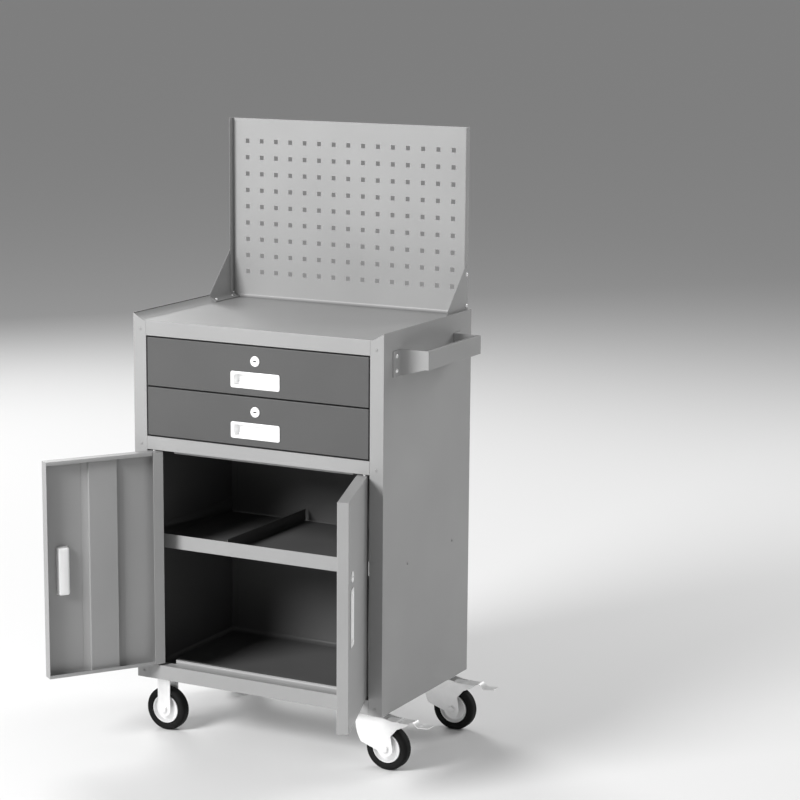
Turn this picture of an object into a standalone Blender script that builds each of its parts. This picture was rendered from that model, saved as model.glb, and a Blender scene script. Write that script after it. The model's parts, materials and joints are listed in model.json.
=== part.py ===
"""Rolling tool chest: a sheet steel cabinet with two drawers, a two-door cupboard with a shelf,
a perforated tool board above the tray top, a push handle, two fixed and two swivelling casters.

Every size is in millimetres. The body frame has X across, Y from the front plane to the back and
Z up from the lower edge of the body. The whole chest hangs on one empty, which is moved at the end
so that the middle of its box is over the origin and the tyres stand on Z = 0.
"""

import math

import bmesh
import bpy
from mathutils import Matrix, Vector

MM = 0.001

# Overall body
BODY_W = 628.0
BODY_D = 416.0
SHEET = 1.2
GAP = 0.3

# Front, from the lower edge upwards
BASE_RAIL_H = 33.0
DOOR_OPENING_H = 497.0
MID_RAIL_H = 30.0
DRAWER_OPENING_H = 226.0
TOP_RAIL_H = 34.0
POST_W = 33.0
POST_RETURN = 20.0
REAR_FLANGE = 17.0

# Tray top with its sloping side lips
LIP_RUN = 25.7
LIP_RISE = 15.0
LIP_FLANGE = 34.0
UPSTAND_H = 8.5

# Ledges and stops that the doors close against
STOP_H = 10.0
STOP_RETURN = 8.0
STOP_INSET = 54.0

# Shelf
SHELF_FLOOR_Z = 302.0
SHELF_SETBACK = 50.0
SHELF_LIP_DOWN = 7.0
SHELF_LIP_UP = 25.0
SHELF_SIDE_H = 34.0
DIVIDER_X = -106.0
DIVIDER_H = 30.0

# Doors, shown swung open
DOOR_T = 25.0
DOOR_END_GAP = 3.0
DOOR_HINGE_GAP = 2.5
DOOR_MIDDLE_GAP = 1.0
PIVOT_INSET = 12.5
PIVOT_Y = 7.0
PIN_R = 3.5
PIN_LENGTH = 22.0
DOOR_LIP = 8.0
CHANNEL_W = 24.0
STIFFENER_W = 68.0
STIFFENER_H = 10.0
STIFFENER_BRIM = 15.0
LEFT_OPEN_DEG = 124.0
RIGHT_OPEN_DEG = 110.0

# Recessed pulls and cylinder locks
PULL_L = 123.0
PULL_W = 36.0
PULL_CORNER_R = 4.5
PULL_CUP_L = 109.0
PULL_CUP_W = 27.0
PULL_CUP_D = 17.0
PULL_RECESS_L = 97.0
PULL_RECESS_W = 20.0
PLATE_T = 1.5
LOCK_HEAD_R = 11.5
LOCK_HEAD_T = 2.2
LOCK_BARREL_R = 9.0
PLUG_R = 6.0
DOOR_CAM_OVERLAP = 9.0
CAM_W = 14.0
CAM_T = 1.8

# Drawers
DRAWER_GAP = 3.0
DRAWER_FRONT_T = 18.0
DRAWER_BOX_SIDE = 15.0
DRAWER_REAR_SPACE = 17.7
DRAWER_RIM_DROP = 18.0
DRAWER_FLOOR_RISE = 5.0
DRAWER_PULL_RISE = 33.5
DRAWER_LOCK_OFFSET = 3.5
CAM_OVERLAP = 3.0
CAM_CLEARANCE = 2.5
STRIKE_H = 17.0
STRIKE_FOOT = 12.0

# Perforated board: square holes of 10 on a pitch of 38
BOARD_INSET = 9.0
BOARD_TOP_Z = 1238.0
BOARD_FLANGE = 18.5
HOLE = 10.0
PITCH = 38.0
HOLE_TOP_DROP = 52.0
HOLE_SIDE_MARGIN = 37.0
HOLE_BOTTOM_MARGIN = 54.0

# Gussets that hold the board
GUSSET_REACH = 107.0
GUSSET_TOP = 95.0
GUSSET_NOSE = 6.5
GUSSET_TAIL = 6.0
GUSSET_CAP = 13.0

# Push handle on the right side
HANDLE_FRONT_Y = 75.0
HANDLE_REAR_INSET = 89.0
HANDLE_OUT = 67.0
HANDLE_TOP_Z = 793.0
HANDLE_LEG_H = 56.0
HANDLE_GRIP_H = 41.0
HANDLE_FLANGE = 35.0
HANDLE_LIP = 10.0
HANDLE_SHEET = 1.5

# Casters: wheel axles lie along Y, so the chest rolls along X
WHEEL_R = 50.0
TYRE_W = 30.0
RIM_R = 33.0
RIM_W = 26.0
HUB_R = 11.0
HUB_W = 31.0
AXLE_R = 5.0
AXLE_DROP = 80.0
AXLE_NUT_R = 8.5
AXLE_NUT_T = 6.0
CASTER_X = 262.0
CASTER_FRONT_Y = 45.0
CASTER_REAR_INSET = 45.0
TRAIL = 46.0
PLATE_X = 92.0
PLATE_Y = 64.0
PLATE_Z = 2.8
FORK_T = 2.5
FORK_INNER = 32.0
RACE_R = 24.0
RACE_H = 7.0
RIGID_LEG_W = 33.0
PEDAL_W = 24.0
PEDAL_PRESS_DEG = 12.0

# Values that follow from the sizes above
HALF_W = BODY_W / 2
INNER_HALF = HALF_W - SHEET - GAP
OPEN_HALF = HALF_W - POST_W
RAIL_HALF = OPEN_HALF - GAP
MID_Z0 = BASE_RAIL_H + DOOR_OPENING_H
MID_Z1 = MID_Z0 + MID_RAIL_H
TOP_RAIL_Z0 = MID_Z1 + DRAWER_OPENING_H
TRAY_Z = TOP_RAIL_Z0 + TOP_RAIL_H
RIM_Z = TRAY_Z + LIP_RISE
LIP_SLOPE = LIP_RISE / LIP_RUN
LIP_X = HALF_W - LIP_RUN
REAR_Y = BODY_D - SHEET - GAP
INNER_REAR_Y = REAR_Y - SHEET - GAP
LEDGE = DOOR_T + 1.0 + SHEET
STOP_HALF = OPEN_HALF - STOP_INSET
PIVOT_X = OPEN_HALF - DOOR_HINGE_GAP - PIVOT_INSET
BOARD_Z0 = TRAY_Z + 2.0
BOARD_HALF = HALF_W - BOARD_INSET
FLOOR_DROP = AXLE_DROP + WHEEL_R

DOOR_Z0 = BASE_RAIL_H + DOOR_END_GAP
DOOR_Z1 = MID_Z0 - DOOR_END_GAP
DOOR_W = OPEN_HALF - DOOR_HINGE_GAP - DOOR_MIDDLE_GAP
DOOR_PULL_INSET = 42.5
DOOR_PULL_Z = 275.5
DOOR_LOCK_Z = 362.0
DOOR_CAM_REACH = DOOR_PULL_INSET + 2 * DOOR_MIDDLE_GAP + DOOR_CAM_OVERLAP


def srgb(level):
    """Turns a grey level from 0 to 255 into the linear value that a shader uses."""
    share = level / 255
    return share / 12.92 if share <= 0.04045 else ((share + 0.055) / 1.055) ** 2.4


def finish(name, level, roughness, metallic=0.0):
    """One Principled material of a neutral grey."""
    material = bpy.data.materials.new(name)
    material.use_nodes = True
    shader = material.node_tree.nodes["Principled BSDF"]
    grey = srgb(level)
    shader.inputs["Base Color"].default_value = (grey, grey, grey, 1.0)
    shader.inputs["Roughness"].default_value = roughness
    shader.inputs["Metallic"].default_value = metallic
    return material


def span(side, near, far):
    """The low and high ends of a stretch that runs from near to far on one side of the middle."""
    return (min(side * near, side * far), max(side * near, side * far))


def add_box(bm, x, y, z):
    """A box between the low and high values of x, y and z."""
    size = [pair[1] - pair[0] for pair in (x, y, z)]
    middle = [(pair[1] + pair[0]) / 2 for pair in (x, y, z)]
    matrix = Matrix.Translation(middle) @ Matrix.Diagonal((*size, 1.0))
    bmesh.ops.create_cube(bm, size=1.0, matrix=matrix)


def add_prism(bm, outline, axis, low, high):
    """An outline in the plane across an axis, extruded along it from low to high."""
    order = {"X": (2, 0, 1), "Y": (0, 2, 1), "Z": (0, 1, 2)}[axis]
    corners = []
    for point in outline:
        values = (point[0], point[1], low)
        corners.append(bm.verts.new([values[index] for index in order]))
    face = bm.faces.new(corners)
    made = bmesh.ops.extrude_face_region(bm, geom=[face])["geom"]
    moved = [item for item in made if isinstance(item, bmesh.types.BMVert)]
    direction = Vector([float(name == axis) for name in "XYZ"])
    bmesh.ops.translate(bm, verts=moved, vec=direction * (high - low))


def add_rod(bm, centre, axis, radius, length, segments=24):
    """A round bar that starts at centre and runs along an axis."""
    turn = {"X": ("Y", 90), "Y": ("X", -90), "Z": ("Z", 0)}[axis]
    spin = Matrix.Rotation(math.radians(turn[1]), 4, turn[0])
    matrix = Matrix.Translation(centre) @ spin @ Matrix.Translation((0, 0, length / 2))
    bmesh.ops.create_cone(bm, cap_ends=True, segments=segments, radius1=radius, radius2=radius,
                          depth=length, matrix=matrix)


def add_turned(bm, profile, segments):
    """A closed profile of (radius, place along Y) turned round the Y axis."""
    verts = [bm.verts.new((radius, along, 0)) for radius, along in profile]
    edges = [bm.edges.new((verts[index - 1], verts[index])) for index in range(len(verts))]
    bmesh.ops.spin(bm, geom=verts + edges, cent=(0, 0, 0), axis=(0, 1, 0), dvec=(0, 0, 0),
                   angle=math.tau, steps=segments, use_merge=True, use_duplicate=False)
    bmesh.ops.remove_doubles(bm, verts=bm.verts, dist=0.001)


def arc(centre, radius, start_deg, end_deg, steps):
    """Points along an arc, both ends included."""
    angles = [math.radians(start_deg + (end_deg - start_deg) * step / steps)
              for step in range(steps + 1)]
    return [(centre[0] + radius * math.cos(angle), centre[1] + radius * math.sin(angle))
            for angle in angles]


def rounded_outline(half_a, half_b, radius, steps=4):
    """A rectangle about the origin with round corners."""
    points = []
    for quarter, (sign_a, sign_b) in enumerate([(1, 1), (-1, 1), (-1, -1), (1, -1)]):
        middle = (sign_a * (half_a - radius), sign_b * (half_b - radius))
        points += arc(middle, radius, 90 * quarter, 90 * quarter + 90, steps)
    return points


def make(name, bm, material, parent, smooth=False):
    """Turns a bmesh in millimetres into a named object in metres."""
    bmesh.ops.recalc_face_normals(bm, faces=bm.faces)
    bmesh.ops.scale(bm, vec=(MM, MM, MM), verts=bm.verts)
    mesh = bpy.data.meshes.new(name)
    bm.to_mesh(mesh)
    bm.free()
    if smooth:
        mesh.shade_smooth()
        mesh.set_sharp_from_angle(angle=math.radians(35))
    if material:
        mesh.materials.append(material)
    obj = bpy.data.objects.new(name, mesh)
    bpy.context.collection.objects.link(obj)
    obj.parent = parent
    return obj


def combine(obj, tool, operation):
    """Joins tool to obj, or cuts it away, and keeps the result as the object's own mesh."""
    modifier = obj.modifiers.new(operation.lower(), "BOOLEAN")
    modifier.operation = operation
    modifier.solver = "EXACT"
    modifier.use_self = True
    modifier.object = tool
    graph = bpy.context.evaluated_depsgraph_get()
    mesh = bpy.data.meshes.new_from_object(obj.evaluated_get(graph))
    obj.modifiers.clear()
    obj.data = mesh
    bpy.data.objects.remove(tool)


def plates(name, material, parent, boxes):
    """Sheet metal made of plates that run into each other, joined to one body."""
    first = bmesh.new()
    add_box(first, *boxes[0])
    obj = make(name, first, material, parent)
    if len(boxes) > 1:
        rest = bmesh.new()
        for box in boxes[1:]:
            add_box(rest, *box)
        combine(obj, make(name + "_rest", rest, None, parent), "UNION")
    return obj


def join(obj, bm):
    combine(obj, make(obj.name + "_added", bm, None, obj.parent), "UNION")


def cut(obj, bm):
    combine(obj, make(obj.name + "_cutter", bm, None, obj.parent), "DIFFERENCE")


def empty(name, place, parent):
    """An empty on a joint's axis or at a sub-assembly's own origin."""
    obj = bpy.data.objects.new(name, None)
    bpy.context.collection.objects.link(obj)
    obj.location = Vector(place) * MM
    obj.parent = parent
    return obj


# Sides, back and the three cross members


def side_panel(side, name, paint, body):
    """A side wall with its front post folded in one piece, and a flange at the back."""
    upper = (MID_Z1 + GAP, TOP_RAIL_Z0 - GAP)
    lower = (BASE_RAIL_H + GAP, MID_Z0 - GAP)
    boxes = [
        (span(side, HALF_W - SHEET, HALF_W), (0, BODY_D), (0, RIM_Z)),
        (span(side, OPEN_HALF, HALF_W), (0, SHEET), (0, RIM_Z)),
        (span(side, HALF_W - REAR_FLANGE, HALF_W), (REAR_Y - SHEET, REAR_Y),
         (0, TRAY_Z - SHEET - GAP)),
    ]
    for stretch in (lower, upper):
        boxes.append((span(side, OPEN_HALF, OPEN_HALF + SHEET), (0, POST_RETURN), stretch))
    panel = plates(name, paint, body, boxes)
    corner = bmesh.new()
    outline = [(side * LIP_X, TRAY_Z), (side * (HALF_W + LIP_RUN), RIM_Z + LIP_RISE),
               (side * (OPEN_HALF - 1), RIM_Z + LIP_RISE), (side * (OPEN_HALF - 1), TRAY_Z)]
    add_prism(corner, outline, "Y", -1, SHEET)
    cut(panel, corner)
    return panel


def lip_height(x):
    """Height of the tray's sloping lip at a distance x from the middle."""
    return TRAY_Z + (x - LIP_X) * LIP_SLOPE


def rail_boxes(low, high):
    """The face of a cross rail, with tabs that sit behind the posts."""
    boxes = [((-RAIL_HALF, RAIL_HALF), (0, SHEET), (low, high))]
    for side in (-1, 1):
        tab_z = (low + 3, high - 3)
        boxes.append((span(side, RAIL_HALF - 6, RAIL_HALF), (0, 2 * SHEET + GAP), tab_z))
        boxes.append((span(side, RAIL_HALF - 6, INNER_HALF - 5),
                      (SHEET + GAP, 2 * SHEET + GAP), tab_z))
    return boxes


def stop_boxes(ledge_z, up):
    """A ledge behind a rail, and the folded strip that the doors close against."""
    ledge = (ledge_z - SHEET, ledge_z) if up > 0 else (ledge_z, ledge_z + SHEET)
    end = ledge_z + up * STOP_H
    riser = (min(ledge[0], end), max(ledge[1], end))
    fold = (end - SHEET, end) if up > 0 else (end, end + SHEET)
    return [
        ((-RAIL_HALF, RAIL_HALF), (0, LEDGE), ledge),
        ((-STOP_HALF, STOP_HALF), (LEDGE - SHEET, LEDGE), riser),
        ((-STOP_HALF, STOP_HALF), (LEDGE - SHEET, LEDGE + STOP_RETURN), fold),
    ]


def cut_pin_holes(rail, low, high):
    for side in (-1, 1):
        hole = bmesh.new()
        add_rod(hole, (side * PIVOT_X, PIVOT_Y, low), "Z", PIN_R + GAP, high - low, 16)
        cut(rail, hole)


def top_tray(paint, body):
    """The tray top: flat plate, sloping lips, front rail and a low upstand at the back."""
    half_angle = math.atan(LIP_SLOPE) / 2
    inner_x = INNER_HALF - SHEET
    under = SHEET * math.sqrt(1 + LIP_SLOPE ** 2)
    right = [(LIP_X, TRAY_Z), (INNER_HALF, lip_height(INNER_HALF)),
             (INNER_HALF, RIM_Z - LIP_FLANGE), (inner_x, RIM_Z - LIP_FLANGE),
             (inner_x, lip_height(inner_x) - under),
             (LIP_X + SHEET * math.tan(half_angle), TRAY_Z - SHEET)]
    left = [(-x, z) for x, z in reversed(right)]
    bm = bmesh.new()
    add_prism(bm, right + left, "Y", SHEET + GAP, INNER_REAR_Y)
    tray = make("top_tray", bm, paint, body)
    added = bmesh.new()
    boxes = rail_boxes(TOP_RAIL_Z0, TRAY_Z) + [
        ((-RAIL_HALF, RAIL_HALF), (0, POST_RETURN), (TOP_RAIL_Z0, TOP_RAIL_Z0 + SHEET)),
        ((-RAIL_HALF, RAIL_HALF), (0, POST_RETURN), (TRAY_Z - SHEET, TRAY_Z)),
        ((-LIP_X, LIP_X), (INNER_REAR_Y - 10, REAR_Y), (TRAY_Z - SHEET, TRAY_Z)),
        ((-LIP_X, LIP_X), (REAR_Y - SHEET, REAR_Y), (TRAY_Z - SHEET, TRAY_Z + UPSTAND_H)),
    ]
    for box in boxes:
        add_box(added, *box)
    join(tray, added)
    return tray


def mid_panel(paint, body):
    """The rail between drawers and doors, with the sheet that closes the cupboard on top."""
    boxes = rail_boxes(MID_Z0, MID_Z1) + stop_boxes(MID_Z0, -1)
    boxes += [
        ((-RAIL_HALF, RAIL_HALF), (0, POST_RETURN + 2), (MID_Z1 - SHEET, MID_Z1)),
        ((-INNER_HALF, INNER_HALF), (POST_RETURN + 1, INNER_REAR_Y), (MID_Z1 - SHEET, MID_Z1)),
    ]
    for side in (-1, 1):
        boxes.append((span(side, INNER_HALF - SHEET, INNER_HALF),
                      (POST_RETURN + 1, INNER_REAR_Y), (MID_Z0 + 6, MID_Z1)))
    panel = plates("mid_panel", paint, body, boxes)
    cut_pin_holes(panel, MID_Z0 - 5, MID_Z0 + 5)
    return panel


def base_pan(paint, body):
    """The floor of the cupboard with the bottom rail, its ledge and the door stop."""
    boxes = rail_boxes(0, BASE_RAIL_H) + stop_boxes(BASE_RAIL_H, 1)
    boxes += [
        ((-RAIL_HALF, RAIL_HALF), (0, 2 * SHEET + 2), (0, SHEET)),
        ((-INNER_HALF, INNER_HALF), (SHEET + GAP, INNER_REAR_Y), (0, SHEET)),
        ((-INNER_HALF, INNER_HALF), (INNER_REAR_Y - SHEET, INNER_REAR_Y), (0, 15)),
    ]
    for side in (-1, 1):
        boxes.append((span(side, INNER_HALF - SHEET, INNER_HALF),
                      (SHEET + GAP, INNER_REAR_Y), (0, 15)))
    pan = plates("base_pan", paint, body, boxes)
    cut_pin_holes(pan, BASE_RAIL_H - 5, BASE_RAIL_H + 5)
    return pan


def shelf(paint, body):
    """A tray-shaped shelf: front lip, floor, upturned sides and a low upright divider."""
    front, back = SHELF_SETBACK, INNER_REAR_Y - 4
    floor = (SHELF_FLOOR_Z - SHEET, SHELF_FLOOR_Z)
    boxes = [
        ((-INNER_HALF, INNER_HALF), (front, back), floor),
        ((-INNER_HALF, INNER_HALF), (front, front + SHEET),
         (SHELF_FLOOR_Z - SHELF_LIP_DOWN, SHELF_FLOOR_Z + SHELF_LIP_UP)),
    ]
    for side in (-1, 1):
        boxes.append((span(side, INNER_HALF - SHEET, INNER_HALF), (front, back),
                      (floor[0], SHELF_FLOOR_Z + SHELF_SIDE_H)))
    boxes.append(((DIVIDER_X, DIVIDER_X + SHEET), (front + 3, back - 6),
                  (floor[0] + SHEET / 2, SHELF_FLOOR_Z + DIVIDER_H)))
    plates("shelf", paint, body, boxes)


# Push handle, tool board and gussets


def push_handle(paint, body):
    """A folded strap: two flanges on the side wall, two tapering legs and a lipped grip."""
    inner = HALF_W + GAP
    outer = HALF_W + HANDLE_OUT
    front, back = HANDLE_FRONT_Y, BODY_D - HANDLE_REAR_INSET
    leg_z = (HANDLE_TOP_Z - HANDLE_LEG_H, HANDLE_TOP_Z)
    grip_low = HANDLE_TOP_Z - HANDLE_GRIP_H
    sheet = HANDLE_SHEET
    handle = plates("push_handle", paint, body, [
        ((outer - sheet, outer), (front, back), leg_z),
        ((inner, outer), (front, front + sheet), leg_z),
        ((inner, outer), (back - sheet, back), leg_z),
        ((inner, inner + sheet), (front - HANDLE_FLANGE, front + sheet), leg_z),
        ((inner, inner + sheet), (back - sheet, back + HANDLE_FLANGE), leg_z),
        ((outer - HANDLE_LIP, outer), (front, back), (HANDLE_TOP_Z - sheet, HANDLE_TOP_Z)),
        ((outer - HANDLE_LIP, outer), (front, back), (grip_low, grip_low + sheet)),
    ])
    taper = bmesh.new()
    outline = [(inner + sheet, leg_z[0] - 1), (outer - HANDLE_LIP, grip_low),
               (outer + 5, grip_low), (outer + 5, leg_z[0] - 1)]
    add_prism(taper, outline, "Y", front - 5, back + 5)
    cut(handle, taper)
    return handle


def hole_lines(count, first, last_edge, low_edge):
    """Grid lines along one side of the board: its two edges and both edges of each hole."""
    lines = [low_edge]
    for index in range(count):
        middle = first + index * PITCH
        lines += [middle - HOLE / 2, middle + HOLE / 2]
    return lines + [last_edge]


def pegboard(paint, body):
    """The perforated board, a plate with square holes and folded sides."""
    half = BOARD_HALF
    columns = int(2 * (half - HOLE_SIDE_MARGIN) / PITCH + 1e-6) + 1
    top_row = BOARD_TOP_Z - HOLE_TOP_DROP
    rows = int((top_row - BOARD_Z0 - HOLE_BOTTOM_MARGIN) / PITCH + 1e-6) + 1
    xs = hole_lines(columns, -(columns - 1) * PITCH / 2, half, -half)
    zs = hole_lines(rows, top_row - (rows - 1) * PITCH, BOARD_TOP_Z, BOARD_Z0)
    bm = bmesh.new()
    grid = bmesh.ops.create_grid(bm, x_segments=len(xs) - 1, y_segments=len(zs) - 1, size=1.0)
    for vert in grid["verts"]:
        column = round((vert.co.x + 1) / 2 * (len(xs) - 1))
        row = round((vert.co.y + 1) / 2 * (len(zs) - 1))
        vert.co = (xs[column], BODY_D - SHEET, zs[row])
    holes = []
    for face in bm.faces:
        middle = face.calc_center_median()
        column = sum(middle.x > x for x in xs)
        row = sum(middle.z > z for z in zs)
        if column % 2 == 0 and row % 2 == 0:
            holes.append(face)
    bmesh.ops.delete(bm, geom=holes, context="FACES")
    made = bmesh.ops.extrude_face_region(bm, geom=bm.faces[:], use_keep_orig=True)["geom"]
    moved = [item for item in made if isinstance(item, bmesh.types.BMVert)]
    bmesh.ops.translate(bm, verts=moved, vec=(0, SHEET, 0))
    board = make("pegboard", bm, paint, body)
    folds = bmesh.new()
    front = BODY_D - BOARD_FLANGE
    flange_low = lip_height(half) + 3 * GAP + 2 * SHEET
    for side in (-1, 1):
        add_box(folds, span(side, half - SHEET, half), (front, BODY_D - SHEET / 2),
                (flange_low, BOARD_TOP_Z))
    join(board, folds)
    return board


def gusset(side, name, paint, body):
    """A triangular bracket: an upright plate outside the board and a foot on the sloping lip."""
    inner = BOARD_HALF + GAP
    back = BODY_D - GUSSET_TAIL
    front = BODY_D - GUSSET_REACH
    lift = GAP * math.sqrt(1 + LIP_SLOPE ** 2)
    under = lip_height(inner + SHEET) + lift
    bm = bmesh.new()
    outline = [(front, under), (back, under), (back, TRAY_Z + LIP_RISE + GUSSET_TOP),
               (back - GUSSET_CAP, TRAY_Z + LIP_RISE + GUSSET_TOP),
               (front, under + GUSSET_NOSE)]
    low, high = span(side, inner, inner + SHEET)
    add_prism(bm, outline, "X", low, high)
    plate = make(name, bm, paint, body)
    foot = bmesh.new()
    thick = SHEET * math.sqrt(1 + LIP_SLOPE ** 2)
    ends = (LIP_X + 1, inner + SHEET)
    section = [(side * ends[0], lip_height(ends[0]) + lift),
               (side * ends[1], lip_height(ends[1]) + lift),
               (side * ends[1], lip_height(ends[1]) + lift + thick),
               (side * ends[0], lip_height(ends[0]) + lift + thick)]
    add_prism(foot, section, "Y", front, back)
    join(plate, foot)
    return plate


# Pulls and locks, shared by the drawers and the doors. Both are made facing -Y about their own
# origin on the outer surface, with the pull's length along X.


def pull(name, metal, parent, upright):
    """A recessed pull: a rounded face plate with a cup behind it."""
    bm = bmesh.new()
    outline = rounded_outline(PULL_L / 2, PULL_W / 2, PULL_CORNER_R)
    if upright:
        outline = [(b, a) for a, b in outline]
    add_prism(bm, outline, "Y", -GAP - PLATE_T, -GAP)
    obj = make(name, bm, metal, parent)
    size = (PULL_CUP_L / 2, PULL_CUP_W / 2)
    hollow = (PULL_RECESS_L / 2, PULL_RECESS_W / 2)
    if upright:
        size, hollow = size[::-1], hollow[::-1]
    cup = bmesh.new()
    add_box(cup, (-size[0], size[0]), (-GAP - PLATE_T, PULL_CUP_D), (-size[1], size[1]))
    join(obj, cup)
    recess = bmesh.new()
    add_box(recess, (-hollow[0], hollow[0]), (-5, PULL_CUP_D - PLATE_T), (-hollow[1], hollow[1]))
    cut(obj, recess)
    return obj


def cut_pull_opening(panel, place, upright):
    half = (PULL_CUP_L / 2 + GAP, PULL_CUP_W / 2 + GAP)
    if upright:
        half = half[::-1]
    hole = bmesh.new()
    add_box(hole, (place[0] - half[0], place[0] + half[0]), (place[1] - 5, place[1] + 5),
            (place[2] - half[1], place[2] + half[1]))
    cut(panel, hole)


def cut_lock_hole(panel, place):
    hole = bmesh.new()
    add_rod(hole, (place[0], place[1] - 5, place[2]), "Y", LOCK_BARREL_R + GAP, 10)
    cut(panel, hole)


def lock_body(name, metal, parent, depth):
    """A lock's housing: a flat round head in front and a threaded barrel through the panel."""
    bm = bmesh.new()
    bore = PLUG_R + GAP
    profile = [(bore, -GAP - LOCK_HEAD_T), (LOCK_HEAD_R - 0.8, -GAP - LOCK_HEAD_T),
               (LOCK_HEAD_R, -GAP - LOCK_HEAD_T + 0.8), (LOCK_HEAD_R, -GAP),
               (LOCK_BARREL_R, -GAP), (LOCK_BARREL_R, depth), (bore, depth)]
    add_turned(bm, profile, 32)
    return make(name, bm, metal, parent, smooth=True)


def lock_plug(name, metal, parent, depth, reach):
    """The turning plug with its key slot, and the cam on its inner end."""
    bm = bmesh.new()
    front = -GAP - LOCK_HEAD_T + 0.4
    add_rod(bm, (0, front, 0), "Y", PLUG_R, depth + GAP - front + CAM_T / 2)
    obj = make(name, bm, metal, parent, smooth=True)
    cam = bmesh.new()
    add_box(cam, (-CAM_W / 2, reach), (depth + GAP, depth + GAP + CAM_T), (-CAM_W / 2, CAM_W / 2))
    join(obj, cam)
    slot = bmesh.new()
    add_box(slot, (-4.0, 4.0), (front - 1, front + 3), (-0.9, 0.9))
    cut(obj, slot)
    return obj


# Drawers


def drawer(level, low, high, paint, box_paint, metal, body):
    """One drawer: box, outer front, pull and lock, all on one empty."""
    slide = empty("slide_" + level, (0, 0, 0), body)
    half = OPEN_HALF - DRAWER_GAP
    box_y = (DRAWER_FRONT_T + GAP, INNER_REAR_Y - DRAWER_REAR_SPACE)
    side_x = OPEN_HALF - DRAWER_BOX_SIDE
    floor_z = low + DRAWER_FLOOR_RISE
    rim_z = high - DRAWER_RIM_DROP
    pull_z = low + DRAWER_PULL_RISE
    lock_z = (pull_z + PULL_W / 2 + high) / 2 - DRAWER_LOCK_OFFSET

    boxes = [
        ((-side_x, side_x), box_y, (floor_z, floor_z + SHEET)),
        ((-side_x, side_x), (box_y[1] - SHEET, box_y[1]), (floor_z, rim_z)),
        ((-side_x, side_x), (box_y[0], box_y[0] + SHEET), (floor_z, lock_z - CAM_W / 2 - 9)),
    ]
    for side in (-1, 1):
        boxes.append((span(side, side_x - SHEET, side_x), box_y, (floor_z, rim_z)))
        boxes.append((span(side, side_x - SHEET, OPEN_HALF - 1.5), box_y, (rim_z - SHEET, rim_z)))
    plates("drawer_box_" + level, box_paint, slide, boxes)

    edges = [((-half, half), (0, SHEET), (low, high))]
    for side in (-1, 1):
        edges.append((span(side, half - SHEET, half), (0, DRAWER_FRONT_T), (low, high)))
    edges.append(((-half, half), (0, DRAWER_FRONT_T), (low, low + SHEET)))
    edges.append(((-half, half), (0, DRAWER_FRONT_T), (high - SHEET, high)))
    front = plates("drawer_front_" + level, paint, slide, edges)
    cut_pull_opening(front, (0, 0, pull_z), False)
    cut_lock_hole(front, (0, 0, lock_z))

    pull_at = empty("pull_place_" + level, (0, 0, pull_z), slide)
    pull("drawer_pull_" + level, metal, pull_at, False)
    lock_at = empty("lock_axis_" + level, (0, 0, lock_z), slide)
    depth = DRAWER_FRONT_T + GAP + 3
    lock_body("drawer_lock_body_" + level, metal, lock_at, depth)
    reach = high + DRAWER_GAP + CAM_OVERLAP - lock_z
    lock_plug("drawer_lock_plug_" + level, metal, lock_at, depth, reach)
    return rim_z


def runner(side, name, rim_z, metal, body):
    """A C-shaped runner on a side wall, which holds the drawer's folded rim."""
    tip = OPEN_HALF - DRAWER_BOX_SIDE + 2
    y = (POST_RETURN + GAP + 0.3, INNER_REAR_Y - 8)
    low, high = rim_z - 2 * SHEET - GAP, rim_z + SHEET + 2 * GAP
    return plates(name, metal, body, [
        (span(side, INNER_HALF - SHEET, INNER_HALF), y, (low, high)),
        (span(side, tip, INNER_HALF), y, (low, low + SHEET)),
        (span(side, tip, INNER_HALF), y, (high - SHEET, high)),
    ])


def strike_rail(split_z, paint, body):
    """A cross rail behind the gap between the drawers, which the lower drawer's cam hooks on."""
    y0 = DRAWER_FRONT_T + GAP
    top = split_z + DRAWER_GAP + CAM_OVERLAP - CAM_CLEARANCE
    boxes = [((-RAIL_HALF, RAIL_HALF), (y0, y0 + SHEET), (top - STRIKE_H, top))]
    for side in (-1, 1):
        boxes.append((span(side, RAIL_HALF - SHEET, RAIL_HALF), (y0, y0 + STRIKE_FOOT),
                      (top - STRIKE_H, top)))
    return plates("lock_strike_rail", paint, body, boxes)


# Doors. Each is made closed about its own pivot, and its empty is then turned open.


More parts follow.
